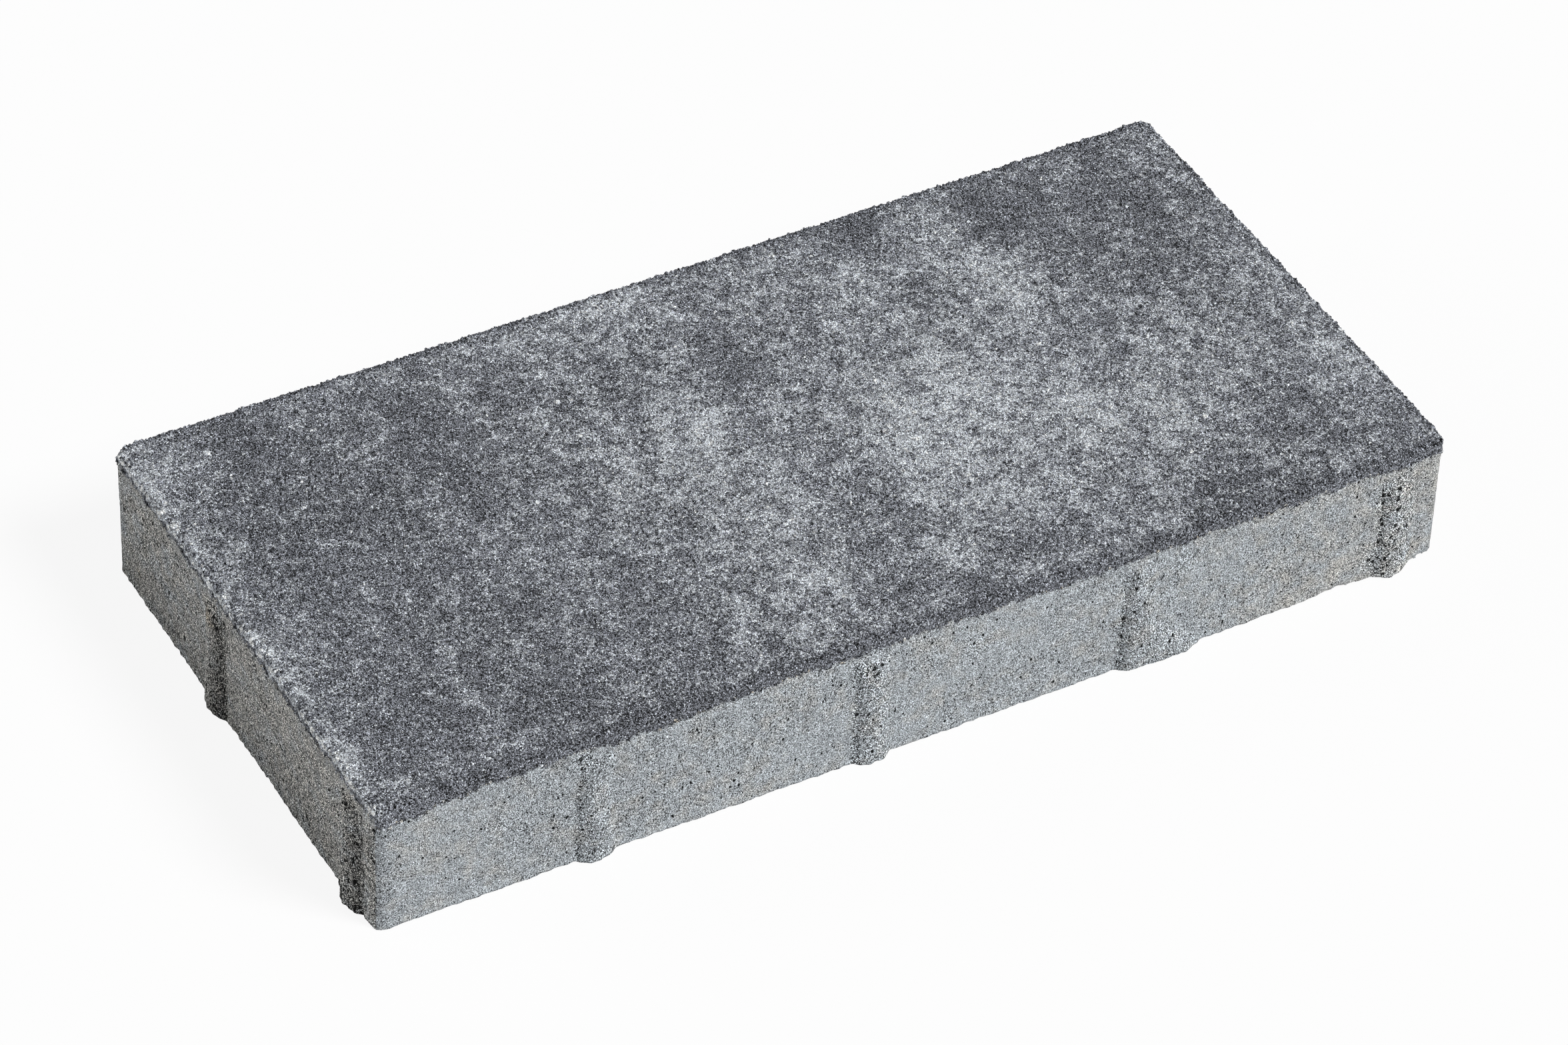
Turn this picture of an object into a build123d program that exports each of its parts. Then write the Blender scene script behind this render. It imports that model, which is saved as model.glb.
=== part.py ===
from build123d import *
import os

# Concrete paving slab, cast as one piece, in millimetres.
# +X runs along the length, +Y across the width and +Z up out of the walked face.
# The origin is the centre of the underside.

# Block
LENGTH = 598.0
WIDTH = 293.0
THICKNESS = 78.0
CORNER_RADIUS = 6.0
ARRIS_RADIUS = 2.5

# Spacer nibs, the upright ribs on the sides that keep the joint open
NIB_PROUD = 4.6
NIB_WIDTH = 24.5
NIB_LEAN = 2.0
NIB_TOP_BELOW_FACE = 10.5
NIB_TOP_SLOPE = 6.0

# Places of the nibs along a side, from its left end as seen from outside
NIB_FIRST = 116.5
NIB_PITCH = 151.5
NIB_END_MARGIN = 20.0

# How far a nib runs back into the block, so that the two fuse over an area
NIB_ROOT = 5.0


def block():
    """The slab without its nibs: upright corners rounded, walked edge eased."""
    plan = RectangleRounded(LENGTH, WIDTH, CORNER_RADIUS)
    solid = extrude(plan, THICKNESS)
    walked_edge = solid.edges().group_by(Axis.Z)[-1]
    return fillet(walked_edge, ARRIS_RADIUS)


def nib():
    """One nib on the side that faces -Y, with the side's surface at y = 0.

    Its section is a flat arc, which leans back into the side towards its top.
    """
    half_width = NIB_WIDTH / 2
    height = THICKNESS - NIB_TOP_BELOW_FACE
    crest = ThreePointArc((-half_width, 0), (0, -NIB_PROUD), (half_width, 0))
    root = Polyline((half_width, 0), (half_width, NIB_ROOT), (-half_width, NIB_ROOT), (-half_width, 0))
    section = make_face(crest + root)
    elevation = Polygon(
        (NIB_ROOT, 0),
        (-NIB_PROUD, 0),
        (-NIB_PROUD, height - NIB_TOP_SLOPE),
        (0, height),
        (NIB_ROOT, height),
        align=None,
    )
    rib = extrude(section, height, dir=(0, NIB_LEAN / height, 1))
    return rib & extrude(Plane.YZ * elevation, half_width, both=True)


def nib_stations(side_length):
    """Distances of a side's nibs from its middle, from left to right."""
    stations = []
    place = NIB_FIRST
    while place < side_length - NIB_END_MARGIN:
        stations.append(place - side_length / 2)
        place += NIB_PITCH
    return stations


def side_nibs(side_length, face_distance, turn):
    """The nibs of one side, turned about the slab's upright axis from the -Y side."""
    nibs = []
    for station in nib_stations(side_length):
        nibs.append(Rot(0, 0, turn) * Pos(station, -face_distance, 0) * nib())
    return nibs


def paving_slab():
    """The whole slab. Its four sides are the -Y side's pattern turned by quarter turns."""
    slab = block()
    sides = (
        (LENGTH, WIDTH / 2, 0),
        (WIDTH, LENGTH / 2, 90),
        (LENGTH, WIDTH / 2, 180),
        (WIDTH, LENGTH / 2, 270),
    )
    for side_length, face_distance, turn in sides:
        slab += side_nibs(side_length, face_distance, turn)
    return slab


os.makedirs("parts", exist_ok=True)
slab = paving_slab()
slab.label = "paving_slab"
export_step(slab, "parts/paving_slab.step")
print("solids", len(slab.solids()), "volume", round(slab.volume), "size", slab.bounding_box().size)
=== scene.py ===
"""Looks of a concrete paving slab that was pressed wet on wet from a dark face mix and a grey core mix.

The slab lies on its bed face at z = 0, with +X along its length, +Y across its width and +Z up.
Every length in a class is in millimetres, and a mesh is written in metres.
"""
import logging
import math
import random
from dataclasses import dataclass, field
from enum import Enum

import bmesh
import bpy
from mathutils import Matrix, Vector, noise


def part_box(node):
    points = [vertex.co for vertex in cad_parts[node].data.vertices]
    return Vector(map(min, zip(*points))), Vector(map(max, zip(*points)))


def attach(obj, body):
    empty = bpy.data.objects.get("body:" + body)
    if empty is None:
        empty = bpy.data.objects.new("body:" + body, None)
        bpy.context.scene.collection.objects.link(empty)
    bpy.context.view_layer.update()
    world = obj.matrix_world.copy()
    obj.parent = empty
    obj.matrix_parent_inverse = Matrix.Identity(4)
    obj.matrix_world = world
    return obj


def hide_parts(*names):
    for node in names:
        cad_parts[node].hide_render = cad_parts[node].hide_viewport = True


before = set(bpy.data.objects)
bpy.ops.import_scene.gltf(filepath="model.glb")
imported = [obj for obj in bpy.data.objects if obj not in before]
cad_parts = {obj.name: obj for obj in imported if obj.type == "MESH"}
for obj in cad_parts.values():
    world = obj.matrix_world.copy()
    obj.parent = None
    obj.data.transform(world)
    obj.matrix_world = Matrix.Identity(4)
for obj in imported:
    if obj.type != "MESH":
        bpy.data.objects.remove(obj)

log = logging.getLogger("slab")

NODE = "paving_slab"
BODY = "root"
MM = 0.001
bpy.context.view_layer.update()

# The pieces' own attributes, which their finish reads.
BLOOM = "bloom"
SEAM = "seam"
HOLLOW = "hollow"
# Stains together with painted shade in creases, on nib flanks and under the face mix's lap.
STAIN_AND_SHADE = "stain_and_shade"
WARM = "warm"
ATTRIBUTES = (BLOOM, SEAM, HOLLOW, STAIN_AND_SHADE, WARM)

# The pieces' map, the gap between its islands, and the size that a hidden face has in it.
BAKE_MAP = "OFBake"
MAP_GAP = 0.01
HIDDEN_SIZE = 0.09

# Height over the seam that makes a grain all face mix, and under it all core mix.
DEEP = 5.0

# Squares of the distances, in reaches, past which a patch and a honeycomb add nothing.
PATCH_END = 9.0
HONEYCOMB_END = 6.0


class Side(Enum):
    """The four sides, each by the quarter turns that bring the front side to it."""

    FRONT = 0
    RIGHT = 1
    BACK = 2
    LEFT = 3

    def along(self, x: float, y: float) -> float:
        """Distance from the side's middle, from left to right as seen from outside."""
        return (x, y, -x, -y)[self.value]


def wave(x: float, y: float, z: float, size: float, seed: int) -> float:
    """Smooth noise from about -1 to 1.

    Args:
        x, y, z: Place in millimetres.
        size: Width of one swell in millimetres.
        seed: Picks one noise out of many.

    Returns:
        The noise at that place.
    """
    return noise.noise((x / size + 17.3 * seed, y / size - 9.1 * seed, z / size + 5.7 * seed)) * 1.6


def clamp(value: float, low: float = 0.0, high: float = 1.0) -> float:
    """The value held between two limits."""
    return min(high, max(low, value))


def smooth(value: float, start: float, end: float) -> float:
    """A soft step from 0 at start to 1 at end."""
    t = clamp((value - start) / (end - start))
    return t * t * (3 - 2 * t)


def hump(value: float, centre: float, reach: float) -> float:
    """A soft hump of 1 at its centre, which has all but died out at twice its reach."""
    return math.exp(-(((value - centre) / reach) ** 2))


@dataclass(frozen=True)
class Swell:
    """One layer of a noise: how much it adds, the width of its swells in millimetres, and its seed."""

    gain: float
    size: float
    seed: int


def swells(layers: tuple[Swell, ...], x: float, y: float, z: float = 0.0) -> float:
    """The sum of some layers of noise at a place."""
    return sum(layer.gain * wave(x, y, z, layer.size, layer.seed) for layer in layers)


# Layers of noise, by what they shape, in millimetres.
SIDE_RELIEF = (Swell(0.18, 60, 1), Swell(0.10, 17, 2), Swell(0.08, 5, 3), Swell(0.12, 2.3, 4))
SIDE_DRAG = (Swell(0.08, 2.6, 17),)
FLASH_EDGE = (Swell(0.22, 9, 5), Swell(0.45, 3.4, 6))
WALKED_EDGE = (Swell(0.7, 11, 9), Swell(0.45, 3, 10))
FACE_GRAIN = (Swell(0.09, 1.9, 11), Swell(0.10, 5, 12), Swell(0.12, 13, 13), Swell(0.16, 70, 14))
FACE_CRUMBLE = (Swell(0.45, 4.2, 15),)
BED_WEAR = (Swell(0.35, 7, 8),)
BED_CHIPS = (Swell(1.0, 23, 7),)
BED_CRUMBS = (Swell(1.0, 4, 18),)
STRIP_GRAIN = (Swell(0.5, 2.4, 16),)
NIB_EDGE = (Swell(0.3, 9, 31),)
NIB_EDGE_CRUMBLE = (Swell(0.7, 4.5, 32),)
NIB_TOP = (Swell(2.0, 7, 33),)
NIB_CRUMBLE = (Swell(0.55, 3.0, 34), Swell(0.45, 7, 35))
SEAM_LINE = (Swell(1.2, 6, 42), Swell(0.9, 2.6, 43))
SEAM_DRIFT = (Swell(1.5, 16, 41),)

# Layers of noise in the attributes.
FACE_STREAKS = (Swell(0.20, 12, 21),)
FACE_CLOUDS = (Swell(0.12, 21, 23), Swell(0.14, 10, 24))
WARM_CLOUDS = (Swell(0.18, 55, 51), Swell(0.20, 16, 52))
PALE_LIMIT = (Swell(1.0, 3.5, 44), Swell(0.8, 9, 45))
PALE_TUFTS = (Swell(1.0, 7, 46), Swell(0.5, 2.4, 47))
PALE_MARGIN = (Swell(1.2, 7, 46),)


@dataclass(frozen=True)
class Patch:
    """A soft patch of the walked face where the cement bloomed pale, or where the pigment stayed dark."""

    x: float
    y: float
    reach_x: float
    reach_y: float
    tone: float

    def at(self, x: float, y: float) -> float:
        """The patch's tone at a place on the face."""
        apart = ((x - self.x) / self.reach_x) ** 2 + ((y - self.y) / self.reach_y) ** 2
        return self.tone * math.exp(-apart) if apart < PATCH_END else 0.0


BLOOM_PATCHES = (
    Patch(-205, 0, 90, 200, -0.52),
    Patch(-242, 117, 18, 20, -0.95),
    Patch(-190, 124, 10, 10, -0.40),
    Patch(-155, 85, 18, 44, -0.65),
    Patch(-108, 100, 14, 20, -0.70),
    Patch(-56, 84, 9, 36, -0.50),
    Patch(8, 72, 26, 32, -0.75),
    Patch(58, 46, 14, 12, -0.50),
    Patch(112, 133, 18, 20, -1.15),
    Patch(116, 70, 12, 14, -0.60),
    Patch(4, 130, 12, 16, -0.50),
    Patch(180, 112, 18, 26, -1.15),
    Patch(216, 95, 26, 42, -0.80),
    Patch(182, 4, 18, 26, -0.45),
    Patch(258, 95, 22, 60, -0.65),
    Patch(-258, -104, 28, 44, -0.60),
    Patch(-252, 20, 14, 50, -0.40),
    Patch(-188, -115, 24, 18, -0.35),
    Patch(-116, -70, 14, 40, -0.40),
    Patch(12, -62, 18, 40, -0.35),
    Patch(34, -138, 14, 12, -1.10),
    Patch(-112, -126, 30, 10, -0.45),
    Patch(-4, -122, 24, 12, -0.80),
    Patch(86, -120, 24, 14, -0.95),
    Patch(180, -128, 24, 16, -0.75),
    Patch(245, -90, 34, 22, -0.55),
    Patch(270, -125, 30, 20, -0.40),
    Patch(-290, 118, 10, 20, 0.10),
    Patch(-292, 70, 8, 14, 0.35),
    Patch(-292, -66, 10, 42, 0.20),
    Patch(-38, 8, 16, 52, 0.65),
    Patch(-34, -96, 16, 30, 0.45),
    Patch(-25, 138, 26, 10, 0.60),
    Patch(64, -20, 26, 60, 0.70),
    Patch(104, 4, 18, 60, 0.50),
    Patch(148, -40, 18, 34, 0.60),
    Patch(-84, 18, 12, 20, 0.55),
    Patch(165, 80, 16, 36, 0.85),
    Patch(190, -52, 20, 26, 0.55),
)


@dataclass(frozen=True)
class Honeycomb:
    """A place on a side where the core mix packed badly, so that its pits are larger."""

    side: Side
    along: float
    height: float
    reach: float
    depth: float

    def at(self, along: float, z: float) -> float:
        """How open the mix is at a place on the side, from 0 to its depth."""
        apart = ((along - self.along) ** 2 + (z - self.height) ** 2) / self.reach**2
        return self.depth * math.exp(-apart) if apart < HONEYCOMB_END else 0.0


HONEYCOMBS = (
    Honeycomb(Side.LEFT, 70, 27, 15, 0.75),
    Honeycomb(Side.LEFT, 20, 58, 9, 0.35),
    Honeycomb(Side.LEFT, -33, 58, 7, 0.9),
    Honeycomb(Side.LEFT, 119, 65, 6, 1.5),
    Honeycomb(Side.LEFT, -110, 45, 20, 0.3),
    Honeycomb(Side.FRONT, -188, 66, 5, 0.9),
    Honeycomb(Side.FRONT, -232, 40, 7, 0.45),
    Honeycomb(Side.FRONT, -36, 60, 6, 0.7),
    Honeycomb(Side.FRONT, 30, 50, 10, 0.35),
    Honeycomb(Side.FRONT, 147, 58, 8, 0.5),
    Honeycomb(Side.FRONT, 265, 52, 7, 0.9),
    Honeycomb(Side.FRONT, 262, 14, 9, 0.9),
    Honeycomb(Side.RIGHT, -60, 30, 16, 0.5),
    Honeycomb(Side.BACK, 90, 34, 18, 0.5),
    Honeycomb(Side.BACK, -170, 50, 10, 0.5),
)


@dataclass(frozen=True)
class RustMark:
    """A rusty spot on the left side."""

    y: float
    height: float
    reach: float
    reach_up: float
    gain: float

    def at(self, y: float, z: float) -> float:
        """How rusty the side is at a place on it."""
        return self.gain * hump(y, self.y, self.reach) * hump(z, self.height, self.reach_up)


RUST_MARKS = (RustMark(31, 60, 7, 9, 1.3), RustMark(-121, 68, 8, 7, 0.7))


@dataclass(frozen=True)
class NibMark:
    """What casting did to one nib.

    Stain is how much darker its right half is, partly darker concrete and partly painted shade on that
    flank;
    crumble how rough it is, burr how far its foot spreads, and crease how dark the line along its foot is, a
    painted shade in that crease.
    """

    stain_and_shade: float = 0.0
    crumble: float = 0.35
    burr: float = 0.0
    crease: float = 0.02


NIB_MARKS = {
    (Side.FRONT, 1): NibMark(crumble=0.6),
    (Side.FRONT, 2): NibMark(crumble=0.45, burr=26.0),
    (Side.FRONT, 3): NibMark(crumble=0.75),
    (Side.LEFT, 0): NibMark(stain_and_shade=0.24, crumble=0.3, crease=0.12),
    (Side.LEFT, 1): NibMark(stain_and_shade=0.19, crumble=1.3, crease=0.22),
}


@dataclass(frozen=True)
class Nib:
    """One spacer nib: a rib down a side, from just under the walked edge to the bed face."""

    side: Side
    station: float
    mark: NibMark


@dataclass
class Block:
    """The cast form of the slab: a rounded block with nibs, and the marks that its casting left."""

    length: float
    width: float
    thickness: float
    corner: float = 6.0
    arris: float = 2.5
    nib_proud: float = 4.6
    nib_width: float = 24.5
    nib_lean: float = 2.0
    nib_first: float = 116.5
    nib_pitch: float = 151.5
    nib_below_face: float = 10.5
    nib_slope: float = 6.0
    nib_end_margin: float = 20.0
    nib_reach: tuple[float, float] = (-18.0, 20.0)
    burr_height: float = 16.0
    bed_radius: float = 0.5
    pit_pitch: tuple[float, float] = (6.5, 6.0)
    pit_depth: float = 1.3
    flash_height: float = 2.0
    grain_pitch: float = 2.7
    face_sink: float = 0.35
    nibs: dict[Side, list[Nib]] = field(default_factory=dict)

    def __post_init__(self) -> None:
        """Sets the nibs out along the four sides."""
        for side in Side:
            run = self.run(side)
            count = 1 + int((run - self.nib_end_margin - self.nib_first) / self.nib_pitch)
            self.nibs[side] = [
                Nib(side, self.nib_first + self.nib_pitch * k - run / 2, NIB_MARKS.get((side, k), NibMark()))
                for k in range(count)
            ]

    @property
    def nib_radius(self) -> float:
        """Radius of the nibs' arc."""
        return (self.nib_width**2 / 4 + self.nib_proud**2) / (2 * self.nib_proud)

    @property
    def half_length(self) -> float:
        """Half of the length, without nibs."""
        return self.length / 2

    @property
    def half_width(self) -> float:
        """Half of the width, without nibs."""
        return self.width / 2

    def run(self, side: Side) -> float:
        """Length of a side, corners included."""
        return self.length if side in (Side.FRONT, Side.BACK) else self.width

    def on_outline(self, around: float) -> tuple[Side, float, float]:
        """A place on the square-cornered outline.

        Args:
            around: How far round the outline it lies, from the front's left end.

        Returns:
            Its side, and its x and y.
        """
        side = Side.FRONT
        for side in Side:
            if around <= self.run(side):
                break
            around -= self.run(side)
        along = around - self.run(side) / 2
        x, y = {
            Side.FRONT: (along, -self.half_width),
            Side.RIGHT: (self.half_length, along),
            Side.BACK: (-along, self.half_width),
            Side.LEFT: (-self.half_length, -along),
        }[side]
        return side, x, y

    def side_at(self, x: float, y: float) -> Side:
        """The side that a place in plan is nearest to.

        Args:
            x, y: A place in the plan.

        Returns:
            The side.
        """
        if self.half_length - abs(x) < self.half_width - abs(y):
            return Side.RIGHT if x > 0 else Side.LEFT
        return Side.BACK if y > 0 else Side.FRONT

    def round_corner(self, x: float, y: float) -> tuple[float, float]:
        """Moves a place of the square-cornered plan to the plan with rounded corners.

        Args:
            x, y: A place in or on the square-cornered plan.

        Returns:
            The place with the corner's squares squeezed to arcs.
        """
        past_x = abs(x) - (self.half_length - self.corner)
        past_y = abs(y) - (self.half_width - self.corner)
        if past_x <= 0 or past_y <= 0:
            return x, y
        scale = max(past_x, past_y) / math.hypot(past_x, past_y)
        new_x = self.half_length - self.corner + past_x * scale
        new_y = self.half_width - self.corner + past_y * scale
        return math.copysign(new_x, x), math.copysign(new_y, y)

    def outward(self, x: float, y: float) -> tuple[float, float, float]:
        """The way out of the plan from a place in it.

        Args:
            x, y: A place in the rounded plan.

        Returns:
            The outward direction's x and y, and how far inside the outline the place lies.
        """
        past_x = abs(x) - (self.half_length - self.corner)
        past_y = abs(y) - (self.half_width - self.corner)
        if past_x > 0 and past_y > 0:
            reach = math.hypot(past_x, past_y)
            way = (math.copysign(past_x / reach, x), math.copysign(past_y / reach, y))
            return way[0], way[1], max(0.0, self.corner - reach)
        if past_x > past_y:
            return math.copysign(1.0, x), 0.0, max(0.0, self.corner - past_x)
        return 0.0, math.copysign(1.0, y), max(0.0, self.corner - past_y)

    def nib_relief(self, side: Side, x: float, y: float, z: float) -> tuple[float, float, float]:
        """The nib at a place on a side.

        Args:
            side: The side.
            x, y, z: The place, in the flat side.

        Returns:
            How far the nib stands out there, how much its staining and painted shade darken it, and how
            crumbled it is.
        """
        along = side.along(x, y)
        for nib in self.nibs[side]:
            apart = along - nib.station
            if self.nib_reach[0] < apart < self.nib_reach[1] + nib.mark.burr:
                return self.one_nib(nib, apart, x, y, z)
        return 0.0, 0.0, 0.0

    def one_nib(self, nib: Nib, apart: float, x: float, y: float, z: float) -> tuple[float, float, float]:
        """One nib at a place near it: an arc with ragged edges, and painted shade in the crease at its foot.

        Args:
            nib: The nib.
            apart: Distance from its middle, to the right as seen from outside.
            x, y, z: The place, in the flat side.

        Returns:
            How far the nib stands out there, how much its staining and painted shade darken it, and how
            crumbled it is.
        """
        mark = nib.mark
        top = self.thickness - self.nib_below_face
        if apart > 0:
            apart -= min(apart, mark.burr * hump(z, 0, self.burr_height))
        apart += swells(NIB_EDGE, x, y, z) + mark.crumble * swells(NIB_EDGE_CRUMBLE, x, y, z)
        proud = self.nib_proud - self.nib_lean * z / top
        proud += mark.crumble * (swells(NIB_CRUMBLE, x, y, z) - 0.2)
        stain_and_shade = 0.0
        crease_place, crease_width = 12.0, 1.1
        if nib.side is not Side.LEFT:
            apart *= 1.2 if apart < 0 else 1.0
            # Left half darker: partly rougher concrete, partly painted shade on the flank away from the key
            # light.
            stain_and_shade = 0.03 * smooth(-apart, -4, 4)
            crease_place, crease_width = -11.0, 1.2
        arc = proud - self.nib_radius + math.sqrt(max(0.0, self.nib_radius**2 - apart**2))
        fade = smooth(top + swells(NIB_TOP, x, y) - z, -1.0, self.nib_slope + 1.0)
        # Painted shade in the crease along the nib's foot, which also sinks it a little and opens more
        # pores.
        crease = fade * hump(apart, crease_place, crease_width)
        cover = fade * smooth(arc, -0.1, 0.2)
        # Right half darker: partly darker concrete, partly painted shade on that flank.
        stain_and_shade += mark.stain_and_shade * (1.2 * smooth(apart, -5, 11) - 0.3 * smooth(-apart, 2, 8))
        out = fade * max(0.0, arc) - 0.2 * crease
        return out, cover * stain_and_shade + mark.crease * crease, cover * mark.crumble + 0.5 * crease

    def seam_height(self, side: Side, x: float, y: float) -> float:
        """Height of the seam, the ragged line where the dark face mix ends on a side.

        Args:
            side: The side.
            x, y: The place in the square-cornered plan.

        Returns:
            The height over the bed face.
        """
        depth = 6.0 if side is Side.LEFT else 7.7
        ragged = swells(SEAM_LINE, x, y) + swells(SEAM_DRIFT, x, y) * (0.3 if side is Side.LEFT else 1.0)
        if side is Side.FRONT:
            near_corner = smooth(-x, 235, 280)
            depth += 4.2 * near_corner
            ragged *= 1 + 0.6 * near_corner
        return self.thickness - depth + ragged

    def wall_relief(self, side: Side, x: float, y: float, z: float, crumble: float) -> float:
        """How far a side stands out of its plane, nibs apart: waviness, sand grain, pits and flash.

        Args:
            side: The side.
            x, y, z: The place in the square-cornered box, in millimetres.
            crumble: How badly the mix packed there, from 0.

        Returns:
            The relief, outwards.
        """
        out = swells(SIDE_RELIEF, x, y, z) + swells(SIDE_DRAG, x, y, z / 7)
        pitch, pitch_up = self.pit_pitch
        gaps, middles = noise.voronoi((x / pitch, y / pitch, z / pitch_up))
        pick = noise.cell(Vector(middles[0]) * 13.7) + 0.5 * crumble
        if pick > 0.6:
            reach = 0.12 + 0.3 * (pick - 0.6)
            out -= self.pit_depth * (1 - smooth(gaps[0], 0.3 * reach, reach))
        flash = 0.75 if side is Side.FRONT and x < 150 else 0.35
        flash += swells(FLASH_EDGE, x, y)
        if side is Side.BACK:
            out += 1.2 * hump(x, 289, 8) * smooth(z, 60, 74)
        return out + flash * math.exp(-z / self.flash_height)

    def bed_edge(self, x: float, y: float) -> float:
        """Radius of the bed face's edge: near sharp, but worn towards the front right corner.

        Args:
            x, y: The place in the square-cornered plan.

        Returns:
            The radius.
        """
        from_corner = math.hypot(x - self.half_length, y + self.half_width)
        worn = 10.0 * hump(from_corner, 0, 13)
        if y < 0 and x < self.half_length - 1:
            worn += 3.6 * hump(x, 243, 10) + 2.0 * smooth(x, 175, 262)
        chipped = 1.6 * clamp(swells(BED_CHIPS, x, y) - 0.35) + 0.3 * clamp(swells(BED_CRUMBS, x, y))
        return self.bed_radius + worn * (1 + swells(BED_WEAR, x, y)) + chipped

    def walked_edge(self, x: float, y: float) -> float:
        """Radius of the walked face's edge, which the grains break up.

        Args:
            x, y: The place in the square-cornered plan.

        Returns:
            The radius.
        """
        worn = 2.0 * smooth(1 - self.half_length - x, -9, 0)
        return self.arris + worn + swells(WALKED_EDGE, x, y)

    def face_relief(self, x: float, y: float, inset: float) -> float:
        """Height of the walked face over its plane: grains, small hollows and slow swells.

        Args:
            x, y: The place in the rounded plan.
            inset: How far inside the outline it lies.

        Returns:
            The height.
        """
        gap = noise.voronoi((x / self.grain_pitch, y / self.grain_pitch, 0.0))[0][0]
        rise = 0.20 * (0.5 - gap) + swells(FACE_GRAIN, x, y)
        return rise + math.exp(-inset / 3.5) * swells(FACE_CRUMBLE, x, y) - self.face_sink

    def bloom(self, x: float, y: float) -> float:
        """Tone of the walked face, from about -1 where it is dark to 1 where it is pale.

        Args:
            x, y: A place on the face.

        Returns:
            The tone.
        """
        tone = sum(patch.at(x, y) for patch in BLOOM_PATCHES)
        tone += swells(FACE_STREAKS, x, y * 0.25) + swells(FACE_CLOUDS, x, y)
        if x > 30 - self.half_length:
            tone -= 0.6 * smooth(10 - (self.half_width - abs(y)), 0, 9)
        return tone


def set_in_frame(name: str, mesh: bpy.types.Mesh, material: bpy.types.Material) -> bpy.types.Object:
    """Makes a piece of the slab from its mesh and stands it in for the slab's node.

    Args:
        name: The piece's name.
        mesh: Its mesh, in metres.
        material: Its finish.

    Returns:
        The piece.
    """
    mesh.materials.append(material)
    piece = bpy.data.objects.new(name, mesh)
    bpy.context.scene.collection.objects.link(piece)
    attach(piece, BODY)
    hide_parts(NODE)
    mesh.calc_loop_triangles()
    log.info("%s: %d triangles", name, len(mesh.loop_triangles))
    return piece


def eased(inset: float, drop: float, radius: float) -> tuple[float, float, float]:
    """Carries a place near a square edge to the edge's arc.

    Args:
        inset: How far the place lies in from the side.
        drop: How far it lies from the flat face. One of the two is 0.
        radius: The arc's radius.

    Returns:
        The new inset and drop, and the sine of the slope from the side's way out to the face's.
    """
    if inset + drop >= radius:
        return inset, drop, 1.0 if inset > 0 else 0.0
    turn = math.radians(45 * (1 + (inset - drop) / radius))
    return radius * (1 - math.cos(turn)), radius * (1 - math.sin(turn)), math.sin(turn)


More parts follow.
